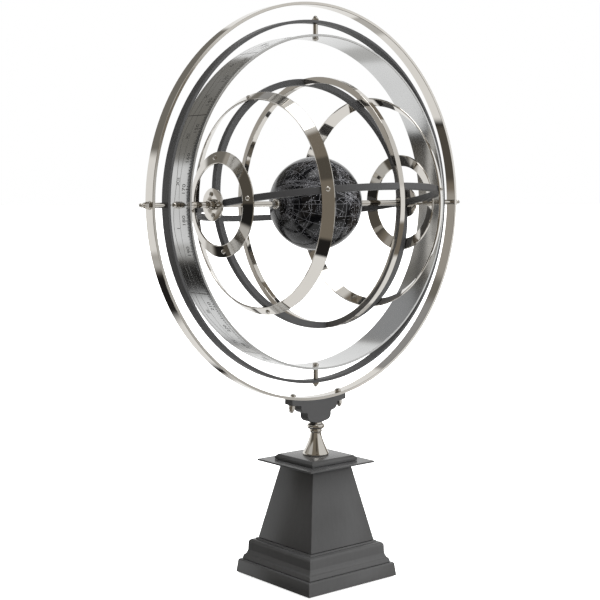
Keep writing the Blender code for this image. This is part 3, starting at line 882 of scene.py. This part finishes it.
# %% [markdown]
# ## Small screws
# Pan-head screws hold each band to each bar, and four hold each hub disc. A cross is
# cut in every head. All the screws of one band share one object.

# %% Cross-head screws
SCREW_RADIUS = 3.2 * MM
SCREW_RISE = 2.4 * MM
CROSS_LONG = 3.4 * MM
CROSS_WIDE = 0.75 * MM
HUB_SCREW_CIRCLE = 14 * MM


def screw_head():
    """A pan head seated at height 0, with a cross cut in its top."""
    dome = [(SCREW_RADIUS * math.cos(a), 0.5 * MM + (SCREW_RISE - 0.5 * MM) * math.sin(a))
            for a in (math.pi / 2 * i / 7 for i in range(8))]
    dome[-1] = (0, SCREW_RISE)
    head = turned(dome[::-1] + [(SCREW_RADIUS, 0), (0, 0)], 32)
    for long, wide in ((CROSS_LONG, CROSS_WIDE), (CROSS_WIDE, CROSS_LONG)):
        head = carve(head, block((long, wide, 2 * MM),
                                 Matrix.Translation((0, 0, SCREW_RISE))))
    mesh = bpy.data.meshes.new("screw_head")
    head.to_mesh(mesh)
    head.free()
    return mesh


SCREW = screw_head()


def screws(name, places):
    """One object holding a screw at each place."""
    group = bmesh.new()
    for i, place in enumerate(places):
        before = len(group.verts)
        group.from_mesh(SCREW)
        group.verts.ensure_lookup_table()
        fresh = group.verts[before:]
        twist = Matrix.Rotation(0.7 + i * 1.9, 4, "Z")     # each cross at its own angle
        bmesh.ops.transform(group, matrix=place @ twist, verts=fresh)
    return add_trim(group, name, BODY_OF["equator_ring"])


for sign, word in SIDES:
    pole = cage_side(sign)
    for kind, latitude in LATITUDES.items():
        reach = CAGE_RADIUS + BAND_CLEAR + STRIP
        places = []
        for i in range(4):
            angle = i * math.pi / 2
            out = Vector((math.cos(latitude) * math.cos(angle),
                          math.cos(latitude) * math.sin(angle), math.sin(latitude)))
            at = pole @ (out * reach)
            places.append(CAGE @ pointing(pole.to_3x3() @ out, at))
        screws(f"{kind}_screws_{word}", places)
    face = max(abs(v.x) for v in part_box(f"hub_disc_{word}"))
    places = []
    for i in range(4):
        angle = i * math.pi / 2
        places.append(CAGE @ pole @ Matrix.Translation(
            (HUB_SCREW_CIRCLE * math.cos(angle), HUB_SCREW_CIRCLE * math.sin(angle), face)))
    screws(f"hub_screws_{word}", places)
print("24 cross-head screws")

# %% [markdown]
# A set screw locks each collar on the axle. It sits just below the collar's side in a
# drilled hole, so all that shows is a dark ring with a small six-sided socket.

# %% Set screws
GRUB_RADIUS = 1.35 * MM
GRUB_LENGTH = 2 * MM
GRUB_SOCKET = 0.85 * MM


def set_screw(place):
    """A socket screw along Z, its face at height 0."""
    grub = turned([(0, 0), (GRUB_RADIUS, 0), (GRUB_RADIUS, -GRUB_LENGTH),
                   (0, -GRUB_LENGTH)], 32)
    socket = bmesh.new()
    bmesh.ops.create_cone(socket, cap_ends=True, segments=6, radius1=GRUB_SOCKET,
                          radius2=GRUB_SOCKET, depth=GRUB_LENGTH * 1.2)
    grub = carve(grub, socket)
    bmesh.ops.transform(grub, matrix=place, verts=grub.verts)
    return grub


for sign, word in SIDES:
    for kind in ("hub_collar", "globe_collar"):
        node = f"{kind}_{word}"
        at = middle(node) + GRUB_OUT.normalized() * (size(node).z / 2 - 0.3 * MM)
        add_trim(set_screw(pointing(GRUB_OUT, at)), node + "_set_screw", BODY_OF[node],
                 "plain_steel")
print("four set screws")

# %% [markdown]
# ## Globe
# A ball spun from a half circle, open at the poles where the axle goes through, with
# a wall so that the openings show an edge.

# %% Globe
GLOBE_WALL = 3 * MM
profile = []
for radius, flip in ((GLOBE_RADIUS, 1), (GLOBE_RADIUS - GLOBE_WALL, -1)):
    tip = math.degrees(math.acos(HOLE / radius))
    profile += arc((0, 0), radius, flip * tip, -flip * tip, 72)
globe = turned(profile, 128, pointing((1, 0, 0), GLOBE_CENTRE), closed=True)
stand_for(globe, "globe", 0.3 * MM)

# %% [markdown]
# ## Saddle and stem
# The saddle is cut from flat bar: two level wings under the ring, then two round lobes
# that step down to the stem. The stem is turned: a bead, a thin ring and a long flare.

# %% Saddle
SADDLE_WIDTH = size("saddle").y
SADDLE_HALF = size("saddle").x / 2
STEM_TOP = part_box("saddle")[0].z - GAP
WING_END = 33.5 * MM
UPPER_LOBE = (24.5 * MM, 246.2 * MM)      # each lobe's centre, out from the middle and up
LOWER_LOBE = (12.4 * MM, 232.5 * MM)


def saddle_half():
    """(x, z) from the ring down to the stem, on one side."""
    hollow = RING_RADIUS + GAP
    points = []
    for i in range(25):
        x = SADDLE_HALF * i / 24
        points.append((x, CENTRE.z - math.sqrt(hollow ** 2 - x ** 2)))
    lean = math.asin(SADDLE_BOLT_OFFSET / RING_RADIUS)
    seat_x = SEAT * math.sin(lean)
    seat_z = CENTRE.z - SEAT * math.cos(lean)
    for x in (SADDLE_HALF, WING_END):
        points.append((x, seat_z + (x - seat_x) * math.tan(lean)))
    points += arc(UPPER_LOBE, 9 * MM, 0, -90, 16)
    points.append((22.4 * MM, 236.4 * MM))
    points += arc(LOWER_LOBE, 9.2 * MM, 12, -82, 16)
    points += [(9.5 * MM, STEM_TOP + 1.4 * MM), (8.5 * MM, STEM_TOP + GAP)]
    return points


half = saddle_half()
outline = [(-x, z) for x, z in reversed(half[1:])] + half
saddle = bmesh.new()
plate = saddle.faces.new([saddle.verts.new((x, -SADDLE_WIDTH / 2, z)) for x, z in outline])
made = bmesh.ops.extrude_face_region(saddle, geom=[plate])
moved = [v for v in made["geom"] if isinstance(v, bmesh.types.BMVert)]
bmesh.ops.translate(saddle, vec=(0, SADDLE_WIDTH, 0), verts=moved)
bmesh.ops.recalc_face_normals(saddle, faces=saddle.faces)
stand_for(saddle, "saddle", 0.5 * MM)

# %% Stem
STEM_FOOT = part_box("stem")[0].z
FOOT_RADIUS = size("stem").x / 2
WAIST = 7.6 * MM
RIM = 8.8 * MM                    # radius of the thin ring
SPIGOT = 4 * MM
ring_top = STEM_TOP - 11.3 * MM
flare_top = STEM_TOP - 14.6 * MM
foot_top = STEM_FOOT + 3 * MM
profile = [(0, STEM_TOP + 6 * MM), (SPIGOT, STEM_TOP + 6 * MM), (SPIGOT, STEM_TOP),
           (8.7 * MM, STEM_TOP)]
profile += arc((8.5 * MM, STEM_TOP - 5.8 * MM), 4 * MM, 75, -75, 16)
profile += [(8 * MM, ring_top + 0.5 * MM), (RIM, ring_top), (RIM, ring_top - 2 * MM),
            (WAIST, flare_top)]
for i in range(1, 33):
    part = i / 32
    radius = WAIST + (FOOT_RADIUS - 0.4 * MM - WAIST) * part ** 1.4
    profile.append((radius, flare_top + (foot_top - flare_top) * part))
profile += [(FOOT_RADIUS, STEM_FOOT + 1.8 * MM), (FOOT_RADIUS - 0.6 * MM, STEM_FOOT),
            (0, STEM_FOOT)]
stand_for(turned(profile, 96), "stem", 0.35 * MM)
print("stem from", round(STEM_FOOT, 4), "to", round(STEM_TOP, 4))

# %% [markdown]
# ## Base
# Each tier of the pedestal is a moulding run round a square. Spinning a profile in
# four steps gives the square with mitred corners, as a joiner would make it.

# %% Base tiers
def square_tier(points):
    """(half width, height) points from top to bottom, run round a square."""
    corner = math.sqrt(2)
    profile = [(0, points[0][1])] + [(half * corner, height) for half, height in points]
    profile.append((0, points[-1][1]))
    return turned(profile, 4, Matrix.Rotation(math.pi / 4, 4, "Z"))


slab_low, slab_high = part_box("base_slab")
slab_half = slab_high.x
SLAB_ROUND = 2.5 * MM
points = arc((slab_half - 4.5 * MM, slab_high.z - SLAB_ROUND), SLAB_ROUND, 90, 10, 8)
points.append((slab_half, slab_low.z))
stand_for(square_tier(points), "base_slab", 0.7 * MM, 3)

moulding_low, moulding_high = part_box("base_moulding")
moulding_top = moulding_high.z - 2 * MM
MOULDING_ROUND = 5.5 * MM
HOLLOW_TOP = 35 * MM              # where the round ends and the hollow begins
points = [(60.8 * MM, moulding_high.z), (61.2 * MM, moulding_top + 0.2 * MM)]
points += arc((63.1 * MM, moulding_top - MOULDING_ROUND), MOULDING_ROUND, 90, 0, 10)
points.append((69 * MM, HOLLOW_TOP))
points += arc((79 * MM, HOLLOW_TOP), 9.5 * MM, 190, 235, 8)
points.append((moulding_high.x, moulding_low.z))
stand_for(square_tier(points), "base_moulding", 0.5 * MM)

low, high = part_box("pedestal")
PEDESTAL_TOP = 34.6 * MM
stand_for(square_tier([(PEDESTAL_TOP, high.z), (high.x, low.z)]), "pedestal", 0.8 * MM, 3)
low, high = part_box("cap_plate")
stand_for(square_tier([(high.x, high.z), (high.x, low.z)]), "cap_plate", 0.5 * MM, 2)
low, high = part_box("cap_block")
points = [(high.x - 3.8 * MM, high.z), (high.x, (high.z + low.z) / 2), (high.x, low.z)]
stand_for(square_tier(points), "cap_block", 0.5 * MM)
print("five tiers of base")

# %% [markdown]
# The rod, its nut and the felt pads under the base keep their CAD shapes. They are
# plain, out of sight, and only need their finishes.

# %% Finishes on the pieces that stay
replaced = {part[:-5] for part in (o.name for o in bpy.data.objects)
            if part.endswith("_fine")}
kept = [node for node in SLOT_OF if node not in replaced]
for node in kept:
    frame["nodes"][node].data.materials.clear()
    frame["nodes"][node].data.materials.append(FINISHES[SLOT_OF[node]])
print("kept from CAD:", ", ".join(kept))

# %% [markdown]
# ## Floor and light
# A pale floor runs to the horizon and meets white. Polished metal shows whatever is
# round it, so the room that mirrors see is made of soft-edged cards. Each is placed in
# degrees, round from the way the camera looks and up from level: white paper ahead,
# white, dusky and black cards to its left, one big pale card to the right, brown walls
# elsewhere, a pale ceiling with a bright panel overhead, and a white table below. The
# cards stay where they are when the camera moves. The camera itself sees plain white,
# and matt paint is lit softly from the right and from above.

# %% Floor
floor_mesh = bmesh.new()
bmesh.ops.create_circle(floor_mesh, cap_ends=True, segments=96, radius=40)
mesh = bpy.data.meshes.new("floor")
floor_mesh.to_mesh(mesh)
floor_mesh.free()
floor_paint = bpy.data.materials.new("floor")
floor_paint.use_nodes = True
floor_shader = floor_paint.node_tree.nodes["Principled BSDF"]
floor_shader.inputs["Base Color"].default_value = (0.93, 0.93, 0.93, 1)
floor_shader.inputs["Roughness"].default_value = 0.8
floor_shader.inputs["Emission Color"].default_value = (1, 1, 1, 1)
floor_shader.inputs["Emission Strength"].default_value = 0.8
mesh.materials.append(floor_paint)
floor = bpy.data.objects.new("floor", mesh)
bpy.context.scene.collection.objects.link(floor)
floor.visible_diffuse = False
floor.visible_glossy = False

# %% Words for the surround
world = bpy.data.worlds.new("studio")
bpy.context.scene.world = world
world.use_nodes = True
surround = Socket(world.node_tree)
direction = surround.node("TexCoord", out="Generated")
east = direction.node("SeparateXYZ", {}, {0: direction}, 0)
north = direction.node("SeparateXYZ", {}, {0: direction}, 1)
height = direction.node("SeparateXYZ", {}, {0: direction}, 2)
flat_ahead = Vector((-back.x, -back.y)).normalized()
key_from = (right * 0.92 + back * 0.3 + Vector((0, 0, 0.25))).normalized()
ahead = east * flat_ahead.x + north * flat_ahead.y
lateral = east * right.x + north * right.y
towards_key = east * key_from.x + north * key_from.y + height * key_from.z


def ramp(value, low, high):
    """0 below low, 1 above high, smooth between."""
    return value.node("MapRange", {"interpolation_type": "SMOOTHSTEP"},
                      {"Value": value, "From Min": low, "From Max": high})


azimuth = east.maths("ARCTAN2", lateral, ahead) * (180 / math.pi)
elevation = east.maths("ARCSINE", height) * (180 / math.pi)


def panel(room, colour, left, right_end, low, high, soft=2.0):
    """The room with a soft-edged card in it: its limits are degrees round and up."""
    inside = ramp(azimuth, left - soft, left + soft)
    inside = inside * (1 - ramp(azimuth, right_end - soft, right_end + soft))
    inside = inside * ramp(elevation, low - soft, low + soft)
    inside = inside * (1 - ramp(elevation, high - soft, high + soft))
    return blend(inside, room, colour)


# %% Surround
BROWN = (0.225, 0.198, 0.162, 1)
UMBER = (0.10, 0.09, 0.075, 1)
TAN = (0.42, 0.40, 0.37, 1)
BLACK = (0.02, 0.019, 0.018, 1)
DUSK = (0.215, 0.205, 0.185, 1)
HAZE = (0.36, 0.362, 0.365, 1)
GREY = (0.58, 0.575, 0.56, 1)
PALE = (0.80, 0.795, 0.78, 1)
WHITE = (0.98, 0.98, 0.975, 1)
TOP_PANEL = (1.4, 1.4, 1.4, 1)
PLAIN_WHITE = (1, 1, 1, 1)

# Behind the camera and to the right
mirrored = panel(BROWN, UMBER, 160, 190, 21, 41)
mirrored = panel(mirrored, BLACK, 140, 190, -50, -30)
mirrored = panel(mirrored, BLACK, -190, -140, -50, -30)
mirrored = panel(mirrored, GREY, 99, 140, -20, 1.5, 1.0)
mirrored = panel(mirrored, PALE, 58, 146, 5.5, 52, 1.0)
mirrored = panel(mirrored, WHITE, 90, 99, -12, 11)

# Past the left pole
mirrored = panel(mirrored, GREY, -140, -99, 27, 54)
mirrored = panel(mirrored, UMBER, -140, -98, 1, 24)
mirrored = panel(mirrored, BLACK, -140, -98, -16, 1)
mirrored = panel(mirrored, GREY, -140, -98, -33, -16)

# Ahead and to the left
mirrored = panel(mirrored, DUSK, -98, -17, 15, 38)
mirrored = panel(mirrored, HAZE, -98, -17, 38, 50)
mirrored = panel(mirrored, TAN, -98, -76, -5, 34)
mirrored = panel(mirrored, UMBER, -98, -76, -40, -9)
mirrored = panel(mirrored, WHITE, -76, -17, -17, 16)
mirrored = panel(mirrored, GREY, -76, -17, -22, -17)
mirrored = panel(mirrored, BLACK, -76, -17, -35, -22)

# White table below, its edge further down behind the camera
table_edge = -33 - ramp(ahead * -1, 0.2, 0.6) * 13
mirrored = blend(1 - ramp(elevation - table_edge, -1.5, 1.5), mirrored, WHITE)

# White paper ahead and its grey foot, then the ceiling
mirrored = panel(mirrored, WHITE, -17, 34, -28, 48)
mirrored = panel(mirrored, GREY, -17, 34, -46, -28)
mirrored = blend(ramp(elevation, 62, 68), mirrored, PALE)
mirrored = blend(ramp(elevation, 75.5, 77.5), mirrored, TOP_PANEL)

FILL_ALL_ROUND = 0.16
FILL_FROM_RIGHT = 2.3
FILL_FROM_ABOVE = 1.9
fill = (FILL_ALL_ROUND + ramp(towards_key, 0.1, 0.9) * FILL_FROM_RIGHT
        + ramp(height, 0.6, 0.9) * FILL_FROM_ABOVE)
lit = surround.node("CombineColor", {}, {0: fill, 1: fill, 2: fill})
seen = surround.node("LightPath", out="Is Camera Ray")
glossy = surround.node("LightPath", out="Is Glossy Ray")
colour = blend(seen, blend(glossy, lit, mirrored), PLAIN_WHITE)
background = world.node_tree.nodes["Background"]
world.node_tree.links.new(colour.port, background.inputs["Color"])
print("surround: paper ahead, pale card right, brown walls, pale ceiling, white table")

# %% Softbox
def softbox(name, place, aim, width, height, watts):
    light = bpy.data.lights.new(name, "AREA")
    light.shape = "RECTANGLE"
    light.size = width
    light.size_y = height
    light.energy = watts
    obj = bpy.data.objects.new(name, light)
    bpy.context.scene.collection.objects.link(obj)
    obj.location = place
    obj.rotation_euler = (Vector(aim) - Vector(place)).to_track_quat("-Z", "Y").to_euler()
    return obj


softbox("top_box", (-0.1, -0.2, 2.9), CENTRE, 1.4, 1.4, 12)
print("one overhead softbox")
